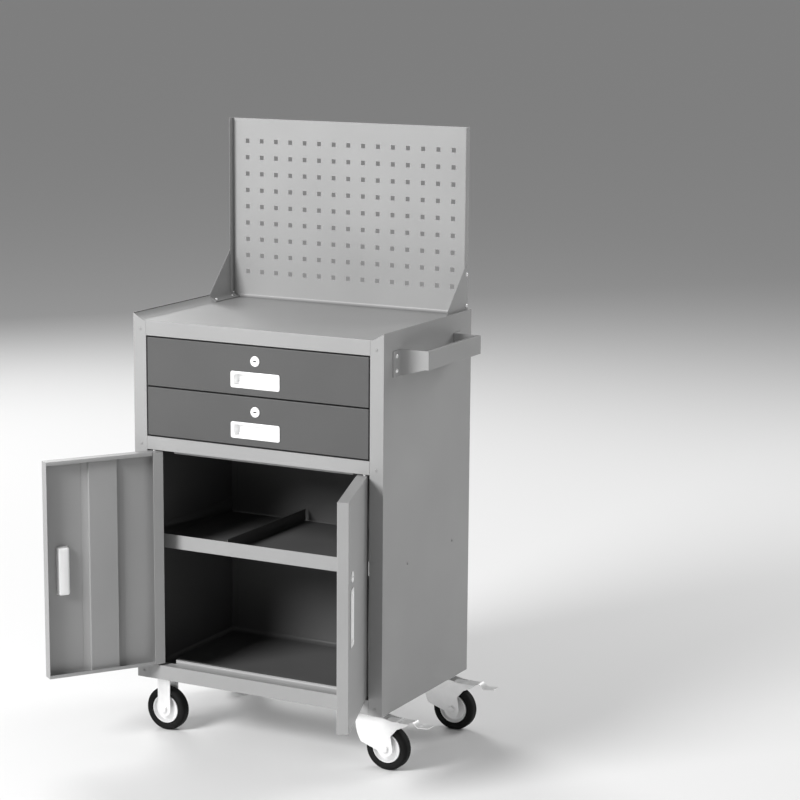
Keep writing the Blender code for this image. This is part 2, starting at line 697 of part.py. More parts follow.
def door(side, word, open_deg, paint, metal, body):
    """One door: folded panel, middle stiffener, hinge channel, pins and pull."""
    hinge = empty("hinge_" + word, (side * PIVOT_X, PIVOT_Y, 0), body)
    toward = -side  # the free edge lies towards the middle of the chest
    edge, free = -PIVOT_INSET, DOOR_W - PIVOT_INSET
    front, back = -PIVOT_Y, DOOR_T - PIVOT_Y
    lip = (back - SHEET, back)
    boxes = [
        (span(toward, edge, free), (front, front + SHEET), (DOOR_Z0, DOOR_Z1)),
        (span(toward, edge, edge + SHEET), (front, back - SHEET - GAP), (DOOR_Z0, DOOR_Z1)),
        (span(toward, free - SHEET, free), (front, back), (DOOR_Z0, DOOR_Z1)),
    ]
    lip_x = span(toward, edge + CHANNEL_W + 2, free)
    for low, high, inner in ((DOOR_Z0, DOOR_Z0 + SHEET, DOOR_Z0 + DOOR_LIP),
                             (DOOR_Z1 - SHEET, DOOR_Z1, DOOR_Z1 - DOOR_LIP)):
        boxes.append((span(toward, edge, free), (front, back - SHEET - GAP), (low, high)))
        boxes.append((lip_x, (front, back), (low, high)))
        boxes.append((lip_x, lip, (min(low, inner), max(high, inner))))
    panel = plates("door_panel_" + word, paint, hinge, boxes)
    for low in (DOOR_Z0 - 2, DOOR_Z1 - SHEET - 2):
        hole = bmesh.new()
        add_rod(hole, (0, 0, low), "Z", PIN_R + GAP, SHEET + 4, 16)
        cut(panel, hole)

    inside = (DOOR_Z0 + SHEET + GAP, DOOR_Z1 - SHEET - GAP)
    plates("door_hinge_channel_" + word, paint, hinge, [
        (span(toward, edge, edge + CHANNEL_W), lip, inside),
        (span(toward, edge + SHEET + GAP, edge + 2 * SHEET + GAP), (front + SHEET + GAP, back),
         inside),
    ])

    middle = (free + edge) / 2
    base = front + SHEET + GAP
    half = STIFFENER_W / 2
    boxes = [(span(toward, middle - half, middle + half),
              (base + STIFFENER_H - SHEET, base + STIFFENER_H), inside)]
    for sign in (-1, 1):
        foot = middle + sign * half
        boxes.append((span(toward, foot, foot - sign * SHEET), (base, base + STIFFENER_H), inside))
        boxes.append((span(toward, foot - sign * SHEET, foot + sign * STIFFENER_BRIM),
                      (base, base + SHEET), inside))
    plates("door_stiffener_" + word, paint, hinge, boxes)

    for place, low in (("upper", DOOR_Z1 + DOOR_END_GAP + SHEET + 2 - PIN_LENGTH),
                       ("lower", DOOR_Z0 - DOOR_END_GAP - SHEET - 2)):
        bm = bmesh.new()
        add_rod(bm, (0, 0, low), "Z", PIN_R, PIN_LENGTH, 16)
        make("hinge_pin_" + place + "_" + word, bm, metal, hinge, smooth=True)

    pull_x = toward * (free - DOOR_PULL_INSET)
    cut_pull_opening(panel, (pull_x, front, DOOR_PULL_Z), True)
    pull_at = empty("pull_place_" + word, (pull_x, front, DOOR_PULL_Z), hinge)
    pull("door_pull_" + word, metal, pull_at, True)
    if side > 0:
        cut_lock_hole(panel, (pull_x, front, DOOR_LOCK_Z))
        lock_at = empty("lock_axis_door", (pull_x, front, DOOR_LOCK_Z), hinge)
        depth = DOOR_T + 1
        lock_body("door_lock_body", metal, lock_at, depth)
        plug = lock_plug("door_lock_plug", metal, lock_at, depth, DOOR_CAM_REACH)
        plug.rotation_euler = (0, math.radians(-90), 0)
    hinge.rotation_euler = (0, 0, side * math.radians(open_deg))
    return hinge


# Casters


def wheel(word, rubber, metal, axle_at):
    """A solid tyre on a pressed disc wheel, and the bolt it turns on."""
    half = TYRE_W / 2
    bm = bmesh.new()
    shoulder = 9.0
    tread = arc((WHEEL_R - shoulder, half - shoulder), shoulder, 70, 0, 3)
    outer = [(radius, along) for radius, along in tread]
    profile = [(RIM_R + GAP, half - 4), (RIM_R + 5, half - 0.5)] + outer
    profile += [(radius, -along) for radius, along in reversed(profile)]
    add_turned(bm, profile, 40)
    make("tyre_" + word, bm, rubber, axle_at, smooth=True)

    bm = bmesh.new()
    bore = AXLE_R + GAP
    side = [(bore, HUB_W / 2), (HUB_R, HUB_W / 2), (HUB_R + 3, 7), (RIM_R - 6, 6),
            (RIM_R - 3, RIM_W / 2), (RIM_R, RIM_W / 2)]
    add_turned(bm, side + [(radius, -along) for radius, along in reversed(side)], 40)
    make("wheel_rim_" + word, bm, metal, axle_at, smooth=True)


def axle(word, metal, axle_at):
    """The axle bolt with its head and nut outside the fork."""
    bm = bmesh.new()
    reach = FORK_INNER / 2 + FORK_T + GAP
    profile = [(AXLE_R, reach), (AXLE_NUT_R, reach), (AXLE_NUT_R, reach + AXLE_NUT_T)]
    ring = [(0, reach + AXLE_NUT_T)]
    half = [ring[0], profile[2], profile[1], profile[0]]
    outline = half + [(radius, -along) for radius, along in reversed(half)]
    verts = [bm.verts.new((radius, along, 0)) for radius, along in outline]
    edges = [bm.edges.new(pair) for pair in zip(verts, verts[1:])]
    bmesh.ops.spin(bm, geom=verts + edges, cent=(0, 0, 0), axis=(0, 1, 0), dvec=(0, 0, 0),
                   angle=math.tau, steps=24, use_merge=True, use_duplicate=False)
    bmesh.ops.remove_doubles(bm, verts=bm.verts, dist=0.001)
    make("axle_" + word, bm, metal, axle_at, smooth=True)


def add_fork_legs(bm, outline):
    """Two side plates of one outline (x, z), one on each side of the wheel."""
    for side in (-1, 1):
        low, high = span(side, FORK_INNER / 2, FORK_INNER / 2 + FORK_T)
        add_prism(bm, outline, "Y", low, high)


def cut_axle_hole(fork, place):
    hole = bmesh.new()
    width = FORK_INNER + 4 * FORK_T
    add_rod(hole, (place[0], -width / 2, place[1]), "Y", AXLE_R + GAP, width)
    cut(fork, hole)


def rigid_caster(word, place, zinc, rubber, body):
    """A fixed caster: plate and fork in one pressing, with straight legs."""
    at = empty("caster_" + word, (*place, 0), body)
    top = -GAP
    half = RIGID_LEG_W / 2
    bm = bmesh.new()
    add_box(bm, (-PLATE_X / 2, PLATE_X / 2), (-PLATE_Y / 2, PLATE_Y / 2), (top - PLATE_Z, top))
    fork = make("caster_fork_" + word, bm, zinc, at)
    legs = bmesh.new()
    drop = -AXLE_DROP
    outline = [(-half, top - PLATE_Z / 2)] + arc((0, drop), half, 180, 360, 10)
    outline.append((half, top - PLATE_Z / 2))
    add_fork_legs(legs, outline)
    join(fork, legs)
    cut_axle_hole(fork, (0, drop))
    axle_at = empty("axle_place_" + word, (0, 0, drop), at)
    axle(word, zinc, axle_at)
    wheel(word, rubber, zinc, axle_at)


def swivel_caster(word, place, zinc, rubber, body):
    """A swivelling caster: fixed plate with its race, trailing fork and a brake pedal."""
    at = empty("swivel_axis_" + word, (*place, 0), body)
    top = -GAP
    race = top - PLATE_Z - RACE_H
    bm = bmesh.new()
    add_box(bm, (-PLATE_X / 2, PLATE_X / 2), (-PLATE_Y / 2, PLATE_Y / 2), (top - PLATE_Z, top))
    plate = make("caster_plate_" + word, bm, zinc, at)
    cup = bmesh.new()
    add_rod(cup, (0, 0, race), "Z", RACE_R, RACE_H + PLATE_Z / 2, 32)
    join(plate, cup)

    crown = race - GAP
    drop = -AXLE_DROP
    bm = bmesh.new()
    wide = FORK_INNER / 2 + FORK_T
    add_box(bm, (-28, 36), (-wide, wide), (crown - FORK_T, crown))
    fork = make("caster_fork_" + word, bm, zinc, at)
    legs = bmesh.new()
    hub = 18.0
    lower = [(-28, crown), (-27, crown - 14)] + arc((62, crown - 14), 89, 190, 212, 3)
    round_end = arc((TRAIL, drop), hub, 200, 380, 12)
    upper = [(TRAIL + 13, drop + 30), (TRAIL + 22, drop + 40), (74, crown - 22), (92, crown - 14),
             (104, crown - 6), (60, crown - 5), (36, crown)]
    add_fork_legs(legs, lower + round_end + upper)
    join(fork, legs)
    cut_axle_hole(fork, (TRAIL, drop))
    axle_at = empty("axle_place_" + word, (TRAIL, 0, drop), at)
    axle(word, zinc, axle_at)
    wheel(word, rubber, zinc, axle_at)
    return at, crown


def brake_pedal(word, crown, metal, caster_at):
    """The foot pedal: a bent strip between the ends of the fork's side plates."""
    pivot = empty("pedal_axis_" + word, (72, 0, crown - 10), caster_at)
    half = PEDAL_W / 2
    thick = 2.0
    ridge = [(-26, 3), (26, 3), (38, 7), (50, -3), (76, -1)]
    outline = [(x, z + thick) for x, z in ridge] + [(x, z) for x, z in reversed(ridge)]
    bm = bmesh.new()
    add_prism(bm, outline, "Y", -half, half)
    pedal = make("brake_pedal_" + word, bm, metal, pivot)
    pin = bmesh.new()
    add_rod(pin, (0, -FORK_INNER / 2 + GAP, 2), "Y", 4, FORK_INNER - 2 * GAP, 16)
    join(pedal, pin)
    return pivot


def stand_on_origin(body):
    """Moves the chest so that its box is centred on X = 0 and Y = 0 and stands on Z = 0."""
    bpy.context.view_layer.update()
    points = [obj.matrix_world @ vert.co for obj in bpy.context.view_layer.objects
              if obj.type == "MESH" for vert in obj.data.vertices]
    low = [min(point[axis] for point in points) for axis in range(3)]
    high = [max(point[axis] for point in points) for axis in range(3)]
    body.location = (-(low[0] + high[0]) / 2, -(low[1] + high[1]) / 2, -low[2])
    bpy.context.view_layer.update()


def main():
    for obj in list(bpy.data.objects):
        bpy.data.objects.remove(obj)
    paint = finish("grey_powder_coat", 176, 0.45)
    dark = finish("dark_grey_powder_coat", 104, 0.45)
    chrome = finish("bright_chrome_plate", 235, 0.12, 1.0)
    zinc = finish("bright_zinc_plate", 225, 0.25, 1.0)
    rubber = finish("black_rubber", 26, 0.6)

    body = empty("chest", (0, 0, 0), None)
    for side, word in ((-1, "left"), (1, "right")):
        side_panel(side, "side_panel_" + word, paint, body)
        gusset(side, "gusset_" + word, paint, body)
    plates("back_panel", paint, body,
           [((-INNER_HALF, INNER_HALF), (BODY_D - SHEET, BODY_D), (0, BOARD_Z0 - GAP))])
    top_tray(paint, body)
    mid_panel(paint, body)
    base_pan(paint, body)
    shelf(paint, body)
    push_handle(paint, body)
    pegboard(paint, body)

    height = (DRAWER_OPENING_H - 3 * DRAWER_GAP) / 2
    low = MID_Z1 + DRAWER_GAP
    for level in ("lower", "upper"):
        rim_z = drawer(level, low, low + height, dark, dark, chrome, body)
        for side, word in ((-1, "left"), (1, "right")):
            runner(side, "drawer_runner_" + level + "_" + word, rim_z, zinc, body)
        low += height + DRAWER_GAP
    strike_rail(MID_Z1 + DRAWER_GAP + height, paint, body)

    door(-1, "left", LEFT_OPEN_DEG, paint, chrome, body)
    door(1, "right", RIGHT_OPEN_DEG, paint, chrome, body)

    for depth, row in ((CASTER_FRONT_Y, "front"), (BODY_D - CASTER_REAR_INSET, "rear")):
        rigid_caster(row + "_left", (-CASTER_X, depth), zinc, rubber, body)
        word = row + "_right"
        at, crown = swivel_caster(word, (CASTER_X, depth), zinc, rubber, body)
        brake_pedal(word, crown, zinc, at)
    stand_on_origin(body)


main()
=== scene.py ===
# %% [markdown]
# # A rolling tool chest
# The real chest is folded steel sheet, powder coated in two greys, with bright plated fittings and
# black rubber tyres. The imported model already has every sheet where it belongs, so this script
# first loads it, then gives each sheet its soft folded edges and its finish, and last adds the
# small parts that catch the light: rivets, bolts, nuts and screws.

# %% Load the chest
import json
import math

import bmesh
import bpy
from mathutils import Matrix, Vector

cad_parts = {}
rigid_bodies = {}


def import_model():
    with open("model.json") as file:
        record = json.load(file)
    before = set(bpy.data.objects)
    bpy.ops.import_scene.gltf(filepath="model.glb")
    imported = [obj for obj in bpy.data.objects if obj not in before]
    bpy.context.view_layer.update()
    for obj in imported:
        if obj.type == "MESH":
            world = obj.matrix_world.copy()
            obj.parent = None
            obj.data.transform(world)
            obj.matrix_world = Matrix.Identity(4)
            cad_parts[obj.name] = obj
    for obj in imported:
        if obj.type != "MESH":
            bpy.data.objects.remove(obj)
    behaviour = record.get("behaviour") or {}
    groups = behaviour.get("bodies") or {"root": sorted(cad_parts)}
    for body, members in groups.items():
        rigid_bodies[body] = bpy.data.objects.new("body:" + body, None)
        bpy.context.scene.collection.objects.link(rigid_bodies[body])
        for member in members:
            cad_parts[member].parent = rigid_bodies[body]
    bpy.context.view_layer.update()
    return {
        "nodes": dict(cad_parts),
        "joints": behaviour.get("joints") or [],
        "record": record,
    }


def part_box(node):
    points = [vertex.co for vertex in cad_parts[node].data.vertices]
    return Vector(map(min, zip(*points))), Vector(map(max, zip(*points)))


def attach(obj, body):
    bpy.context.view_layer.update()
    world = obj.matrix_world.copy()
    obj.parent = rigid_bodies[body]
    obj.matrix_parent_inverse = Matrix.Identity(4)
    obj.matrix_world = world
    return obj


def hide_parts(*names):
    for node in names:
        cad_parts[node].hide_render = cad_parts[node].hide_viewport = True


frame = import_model()

# %% [markdown]
# Sizes are easier to think of in millimetres from the front lower edge of the cabinet, halfway
# between its sides. The two side panels give that point.

# %% The cabinet's own starting point
MM = 0.001
left_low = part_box("side_panel_left")[0]
right_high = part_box("side_panel_right")[1]
START = Vector(((left_low.x + right_high.x) / 2, left_low.y, left_low.z))
HALF_W = (right_high.x - left_low.x) / 2 / MM
DEPTH = (right_high.y - left_low.y) / MM
AT_START = Matrix.Translation(START) @ Matrix.Diagonal((MM, MM, MM, 1))
print("half width", round(HALF_W, 1), "depth", round(DEPTH, 1))

# %% [markdown]
# The two doors stand open. A fitting on a door is easiest to make on the closed door, and then
# turned with it about the hinge. The hinge joints say where the pins are and how far each door is
# from closed.

# %% Turning a closed door open
JOINTS = {joint["name"]: joint for joint in frame["joints"]}


def open_door(side):
    """Takes a closed door's millimetres to the place of the open door."""
    joint = JOINTS["door_hinge_left" if side < 0 else "door_hinge_right"]
    pivot = Vector(joint["pos_m"])
    low, high = joint["range_deg"]
    turn = -high if side < 0 else -low
    spin = Matrix.Rotation(math.radians(turn), 4, "Z")
    return Matrix.Translation(pivot) @ spin @ Matrix.Translation(-pivot) @ AT_START


print("joints:", len(JOINTS))

# %% [markdown]
# ## Finishes
# Each finish is a small network of nodes. One function turns a colour as a painter writes it into
# the linear values that the shader needs, and one adds a node with its settings and links.

# %% Colour and node helpers


def linear(code):
    """An sRGB hex colour such as 8C8C8C as linear values."""
    values = []
    for start in (0, 2, 4):
        share = int(code[start:start + 2], 16) / 255
        values.append(share / 12.92 if share <= 0.04045 else ((share + 0.055) / 1.055) ** 2.4)
    return (*values, 1.0)


def add_node(tree, kind, settings=None, links=None):
    """Adds one node. Settings name inputs or properties, links name inputs and their sources."""
    node = tree.nodes.new(kind)
    for name, value in (settings or {}).items():
        if isinstance(name, int) or name in node.inputs:
            node.inputs[name].default_value = value
        else:
            setattr(node, name, value)
    for name, source in (links or {}).items():
        tree.links.new(source, node.inputs[name])
    return node


def new_finish(name):
    material = bpy.data.materials.new(name)
    material.use_nodes = True
    shader = material.node_tree.nodes["Principled BSDF"]
    place = add_node(material.node_tree, "ShaderNodeTexCoord").outputs["Object"]
    return material, material.node_tree, shader, place


print("helpers ready")

# %% [markdown]
# Powder coat is a polyester paint, sprayed as dry powder and baked. It flows into a film with a
# faint orange peel: soft lumps 2 to 3 mm apart, over a finer grit. It is satin, so edges glint but
# faces stay even. The lumps are a noise in the bump, and the grit a finer one in the roughness.
# A slow, very slight change of tone over each panel is what keeps it from looking like flat paint.

# %% Powder coat


def powder_coat(name, colour, darker, roughness):
    material, tree, shader, place = new_finish(name)
    # Slow drift of tone, about 250 mm from light to dark.
    drift = add_node(tree, "ShaderNodeTexNoise", {"Scale": 1 / 0.25, "Detail": 2.0},
                     {"Vector": place})
    # Grit, drawn at 0.8 mm because the real 0.1 mm would never show.
    grit = add_node(tree, "ShaderNodeTexNoise", {"Scale": 1 / 0.0008, "Detail": 1.0},
                    {"Vector": place})
    blend = add_node(tree, "ShaderNodeMath", {"operation": "MULTIPLY_ADD", 1: 0.25},
                     {0: grit.outputs["Fac"], 2: drift.outputs["Fac"]})
    tone = add_node(tree, "ShaderNodeValToRGB", None, {"Fac": blend.outputs["Value"]})
    tone.color_ramp.elements[0].position = 0.35
    tone.color_ramp.elements[0].color = linear(darker)
    tone.color_ramp.elements[1].position = 0.9
    tone.color_ramp.elements[1].color = linear(colour)
    tree.links.new(tone.outputs["Color"], shader.inputs["Base Color"])
    sheen = add_node(tree, "ShaderNodeMapRange",
                     {"To Min": roughness - 0.05, "To Max": roughness + 0.05},
                     {"Value": grit.outputs["Fac"]})
    tree.links.new(sheen.outputs["Result"], shader.inputs["Roughness"])
    # Orange peel, 2.5 mm from lump to lump and a few hundredths of a millimetre deep.
    peel = add_node(tree, "ShaderNodeTexNoise", {"Scale": 1 / 0.0025, "Detail": 1.0},
                    {"Vector": place})
    bump = add_node(tree, "ShaderNodeBump", {"Strength": 0.25, "Distance": 0.00012},
                    {"Height": peel.outputs["Fac"]})
    tree.links.new(bump.outputs["Normal"], shader.inputs["Normal"])
    shader.inputs["IOR"].default_value = 1.5
    return material


body_grey = powder_coat("powder_coat_mid_grey", "9A9A9A", "909090", 0.42)
drawer_grey = powder_coat("powder_coat_dark_grey", "4E4E4E", "474747", 0.45)
print("made", body_grey.name, drawer_grey.name)

# %% [markdown]
# The walls inside the cabinet look much darker and flatter than the outside, because little
# light reaches into a deep box. That shade is painted here: the faces inside get a darker, duller
# coat of the same powder, with its grey given below. How much of that is a thinner coat and how
# much is shade isn't known, so all of it is drawn as a darker, duller coat of the same powder,
# with its grey chosen by eye.

# %% Painted shade inside the cabinet
painted_inside_shade = powder_coat("powder_coat_painted_inside_shade", "5E5E5E", "545454", 0.6)
print("made", painted_inside_shade.name)

# %% [markdown]
# Zinc plate on the casters and bolts is a thin bright metal film that keeps the fine grain of the
# rolled steel below it. Under soft light it looks almost white. Nickel on the pulls and locks is
# smoother. Small changes of roughness along the rolling direction stop the mirror look of a
# computer drawing. Real plate is fully metallic. It is drawn here as less than half metallic,
# which is a choice: it keeps both plates pale in a studio that has little to reflect.

# %% Plated steel
PLATE_METALLIC = 0.45


def plated(name, colour, roughness, grain):
    material, tree, shader, place = new_finish(name)
    shader.inputs["Metallic"].default_value = PLATE_METALLIC
    # Rolling grain: 0.6 mm across and stretched twelve times along X.
    stretch = add_node(tree, "ShaderNodeMapping", {"Scale": (1 / 12, 1.0, 1.0)}, {"Vector": place})
    lines = add_node(tree, "ShaderNodeTexNoise", {"Scale": 1 / 0.0006, "Detail": 2.0},
                     {"Vector": stretch.outputs["Vector"]})
    cloud = add_node(tree, "ShaderNodeTexNoise", {"Scale": 1 / 0.02, "Detail": 3.0},
                     {"Vector": place})
    mixed = add_node(tree, "ShaderNodeMath", {"operation": "MULTIPLY_ADD", 1: 0.5},
                     {0: lines.outputs["Fac"], 2: cloud.outputs["Fac"]})
    sheen = add_node(tree, "ShaderNodeMapRange",
                     {"From Max": 1.5, "To Min": roughness - grain, "To Max": roughness + grain},
                     {"Value": mixed.outputs["Value"]})
    tree.links.new(sheen.outputs["Result"], shader.inputs["Roughness"])
    tone = add_node(tree, "ShaderNodeValToRGB", None, {"Fac": cloud.outputs["Fac"]})
    tone.color_ramp.elements[0].color = linear(colour)
    tone.color_ramp.elements[1].color = linear("FAFAFA")
    tree.links.new(tone.outputs["Color"], shader.inputs["Base Color"])
    return material


zinc = plated("passivated_zinc_plate", "E9E9E9", 0.34, 0.08)
nickel = plated("satin_nickel_plate", "F4F4F4", 0.38, 0.05)
print("made", zinc.name, nickel.name)

# %% [markdown]
# The tyres are moulded solid rubber. Mould skin is a dull black with a fine pebble, and a little
# dust dulls it in patches.

# %% Tyre rubber
# The same black also paints the key slots of the locks, as painted shade.
rubber_and_slot_shade, tree, shader, place = new_finish("moulded_black_rubber_and_slot_shade")
dust = add_node(tree, "ShaderNodeTexNoise", {"Scale": 1 / 0.03, "Detail": 4.0}, {"Vector": place})
tone = add_node(tree, "ShaderNodeValToRGB", None, {"Fac": dust.outputs["Fac"]})
tone.color_ramp.elements[0].position = 0.4
tone.color_ramp.elements[0].color = linear("0B0B0B")
tone.color_ramp.elements[1].position = 0.8
tone.color_ramp.elements[1].color = linear("171717")
tree.links.new(tone.outputs["Color"], shader.inputs["Base Color"])
# Pebble of the mould, 0.9 mm from grain to grain.
pebble = add_node(tree, "ShaderNodeTexVoronoi", {"Scale": 1 / 0.0009}, {"Vector": place})
bump = add_node(tree, "ShaderNodeBump", {"Strength": 0.3, "Distance": 0.00015},
                {"Height": pebble.outputs["Distance"]})
tree.links.new(bump.outputs["Normal"], shader.inputs["Normal"])
shader.inputs["Roughness"].default_value = 0.75
shader.inputs["Specular IOR Level"].default_value = 0.2
shader.inputs["IOR"].default_value = 1.52
print("made", rubber_and_slot_shade.name)

# %% [markdown]
# ## Shaping helpers
# A piece is made in millimetres and then put in its place, so that its object stays at the origin.


def piece(name, bm, finish, body, nodes=(), place=AT_START, smooth=35, second=None):
    """Puts a bmesh in its place, gives it a finish and ties it to a body of the chest."""
    bmesh.ops.transform(bm, matrix=place, verts=bm.verts)
    bmesh.ops.recalc_face_normals(bm, faces=bm.faces)
    mesh = bpy.data.meshes.new(name)
    bm.to_mesh(mesh)
    bm.free()
    mesh.shade_smooth()
    mesh.set_sharp_from_angle(angle=math.radians(smooth))
    mesh.materials.append(finish)
    if second:
        mesh.materials.append(second)
    obj = bpy.data.objects.new(name, mesh)
    bpy.context.collection.objects.link(obj)
    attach(obj, body)
    if nodes:
        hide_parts(*nodes)
    return obj


BODY_OF = {node: body for body, nodes in frame["record"]["behaviour"]["bodies"].items()
           for node in nodes}
print("nodes with a body:", len(BODY_OF))

# %% [markdown]
# ### Folded edges
# Sheet metal has no knife edges. A fold leaves a round corner of about the sheet's own thickness,
# and a cut edge is broken by the paint to about a quarter of a millimetre. So each sheet is copied
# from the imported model, its loose triangles are merged, flat neighbours are joined to whole faces,
# and then the folds and the cut edges are bevelled by different amounts.

# %% Softening a sheet
SHEET = 1.2
FOLD_R = 1.5
CUT_R = 0.28
FOLD_STEPS = 3
SHARP = math.radians(40)
FLAT = math.radians(1)
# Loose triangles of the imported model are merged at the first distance, and points that a bevel
# leaves on top of each other at the second.
MERGE = 0.002
MERGE_AFTER = 0.0005
# From the tray's lowest edge to just above its floor.
TRAY_REACH = 40
TRAY_UNDER = (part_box("top_tray")[0].z - START.z) / MM + TRAY_REACH


def face_breadth(face):
    """How broad a face is: its area over half its outline. A strip gives its width."""
    return 2 * face.calc_area() / sum(edge.calc_length() for edge in face.edges)


def gets_painted_shade(face, first_y):
    """Whether a face looks into the cabinet, further back than first_y, and takes painted shade."""
    spot = face.calc_center_median() - START / MM
    toward = Vector((0, DEPTH / 2, spot.z)) - spot
    looks_in = face.normal.dot(toward) > 1 or abs(face.normal.z) > 0.7
    return looks_in and spot.y > first_y and 1 < spot.z < TRAY_UNDER


def soften(node, finish, fold=FOLD_R, cut=CUT_R, shade_from=None):
    """Replaces a packed sheet by a copy of it with round folds and broken edges."""
    bm = bmesh.new()
    bm.from_mesh(frame["nodes"][node].data)
    bmesh.ops.scale(bm, vec=(1 / MM, 1 / MM, 1 / MM), verts=bm.verts)
    bmesh.ops.remove_doubles(bm, verts=bm.verts, dist=MERGE)
    bmesh.ops.dissolve_limit(bm, angle_limit=FLAT, verts=bm.verts, edges=bm.edges)
    # Faces that look into the cabinet take the second finish, a painted shade.
    if shade_from is not None:
        for face in bm.faces:
            face.material_index = int(gets_painted_shade(face, shade_from))
    sharp = [edge for edge in bm.edges
             if len(edge.link_faces) == 2 and edge.calc_face_angle() > SHARP]
    broad = [edge for edge in sharp if edge.is_convex
             and all(face_breadth(face) > 2 * SHEET for face in edge.link_faces)]
    if broad and fold > cut:
        bmesh.ops.bevel(bm, geom=broad, affect="EDGES", offset=fold, offset_type="OFFSET",
                        segments=FOLD_STEPS, profile=0.5, material=-1, clamp_overlap=True)
    thin = [edge for edge in bm.edges if edge.is_convex and edge.calc_length() > 1
            and len(edge.link_faces) == 2 and edge.calc_face_angle() > SHARP]
    bmesh.ops.bevel(bm, geom=thin, affect="EDGES", offset=cut, offset_type="OFFSET",
                    segments=1, profile=0.5, material=-1, clamp_overlap=True)
    bmesh.ops.remove_doubles(bm, verts=bm.verts, dist=MERGE_AFTER)
    second = None if shade_from is None else painted_inside_shade
    scale = Matrix.Diagonal((MM, MM, MM, 1))
    soft = piece(node + "_sheet", bm, finish, BODY_OF[node], [node], scale, smooth=50,
                 second=second)
    # Weighted normals keep the wide faces flat and let only the narrow bends look round.
    even = soft.modifiers.new("even_faces", "WEIGHTED_NORMAL")
    even.weight = 100
    even.keep_sharp = True
    print(node, "folds", len(broad), "edges", len(thin), "faces", len(soft.data.polygons))


# %% [markdown]
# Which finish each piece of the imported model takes: grey paint on the cabinet and doors, darker
# grey on the drawers, bright plate on fittings and casters.

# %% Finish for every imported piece


def finish_of(node):
    if node.startswith("tyre"):
        return rubber_and_slot_shade
    if node.startswith(("drawer_box", "drawer_front")):
        return drawer_grey
    # The strike rail behind the drawer gaps takes the dark inside coat, as painted shade in the
    # gaps.
    if node == "lock_strike_rail":
        return painted_inside_shade
    if "pull" in node or "lock_body" in node or "lock_plug" in node:
        return nickel
    if node.startswith(("axle", "wheel_rim", "caster", "brake", "hinge_pin", "drawer_runner")):
        return zinc
    return body_grey


for node, obj in frame["nodes"].items():
    obj.data.materials.clear()
    obj.data.materials.append(finish_of(node))
print("finished", len(frame["nodes"]), "packed pieces")

# %% [markdown]
# Every folded sheet is softened in turn. One that has a side inside the cabinet or a drawer has
# two finishes: faces further back than a depth in millimetres take the painted shade of the
# inside, so that its front edges stay light.

# %% Softened sheets
PAINTED_SHADE_FROM = {"side_panel_left": 25, "side_panel_right": 25, "back_panel": 25, "mid_panel": 30,
             "base_pan": 30, "shelf": 53}
PAINTED_SHADE_FROM.update({"drawer_box_" + level: 5 for level in ("upper", "lower")})
SHEETS = ["side_panel_left", "side_panel_right", "top_tray", "mid_panel", "base_pan", "back_panel",
          "shelf", "pegboard", "gusset_left", "gusset_right", "push_handle", "lock_strike_rail"]
for side in ("left", "right"):
    SHEETS += ["door_panel_" + side, "door_stiffener_" + side, "door_hinge_channel_" + side]
for level in ("upper", "lower"):
    SHEETS += ["drawer_box_" + level, "drawer_front_" + level]
for node in SHEETS:
    soften(node, finish_of(node), shade_from=PAINTED_SHADE_FROM.get(node))
print("softened", len(SHEETS), "sheets")

# %% [markdown]
# The casters, their brake pedals and the drawer runners are small pressings. Their folds are
# drawn tighter than a big sheet's, and their cut edges rounder.

# %% Softened pressings
PRESSED_FOLD_R = 0.8
PRESSED_CUT_R = 0.4
PRESSINGS = [node for node in frame["nodes"]
             if node.startswith(("caster", "brake_pedal", "drawer_runner"))]
for node in PRESSINGS:
    soften(node, zinc, fold=PRESSED_FOLD_R, cut=PRESSED_CUT_R)
print("softened", len(PRESSINGS), "pressings")

# %% [markdown]
# ## Turned pieces
# Wheels, locks and rivets are round, so each is a profile turned about its axis. The profile lists
# points as radius and height. A spin makes the round shape, and a merge closes it on the axis.

# %% Turning a profile


def arc(middle, radius, start, end, steps):
    """Points on an arc, from one angle to another in degrees."""
    angles = [math.radians(start + (end - start) * step / steps) for step in range(steps + 1)]
    return [(middle[0] + radius * math.cos(a), middle[1] + radius * math.sin(a)) for a in angles]


def add_turned(bm, profile, place, steps, ring=False):
    """Turns a profile about Z and adds it to a bmesh in its place. A ring's profile is a loop."""
    turned = bmesh.new()
    verts = [turned.verts.new((radius, 0, height)) for radius, height in profile]
    pairs = list(zip(verts, verts[1:]))
    if ring:
        pairs.append((verts[-1], verts[0]))
    edges = [turned.edges.new(pair) for pair in pairs]
    bmesh.ops.spin(turned, geom=verts + edges, cent=(0, 0, 0), axis=(0, 0, 1), dvec=(0, 0, 0),
                   angle=math.tau, steps=steps, use_merge=True, use_duplicate=False)
    bmesh.ops.remove_doubles(turned, verts=turned.verts, dist=0.0001)
    add_to(bm, turned, place)


def add_to(bm, other, place):
    """Puts one bmesh in its place and adds it to another."""
    bmesh.ops.transform(other, matrix=place, verts=other.verts)
    bmesh.ops.recalc_face_normals(other, faces=other.faces)
    carrier = bpy.data.meshes.new("carrier")
    other.to_mesh(carrier)
    other.free()
    bm.from_mesh(carrier)
    bpy.data.meshes.remove(carrier)


def facing(spot, direction):
    """A place at a spot, with Z turned to face a direction."""
    return Matrix.Translation(spot) @ Vector(direction).to_track_quat("Z", "Y").to_matrix().to_4x4()


def spot_of(node):
    """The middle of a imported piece, in millimetres."""
    low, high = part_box(node)
    return ((low + high) / 2 - START) / MM


print("turning helpers ready")

# %% [markdown]
# ### Wheels
# A solid rubber tyre with round shoulders is pressed on a plated disc. The disc is two thin steel
# pressings riveted back to back: a flat rolled edge, a shallow dish and a hub with the axle bolt.

# %% Tyre and disc
TYRE_R = 50.0
TYRE_HALF = 14.5
SHOULDER = 8.0
DISC_R = 33.0
WHEEL_STEPS = 96


def mirrored(side):
    """A profile of one half, followed by its mirror image."""
    return side + [(radius, -height) for radius, height in reversed(side)]


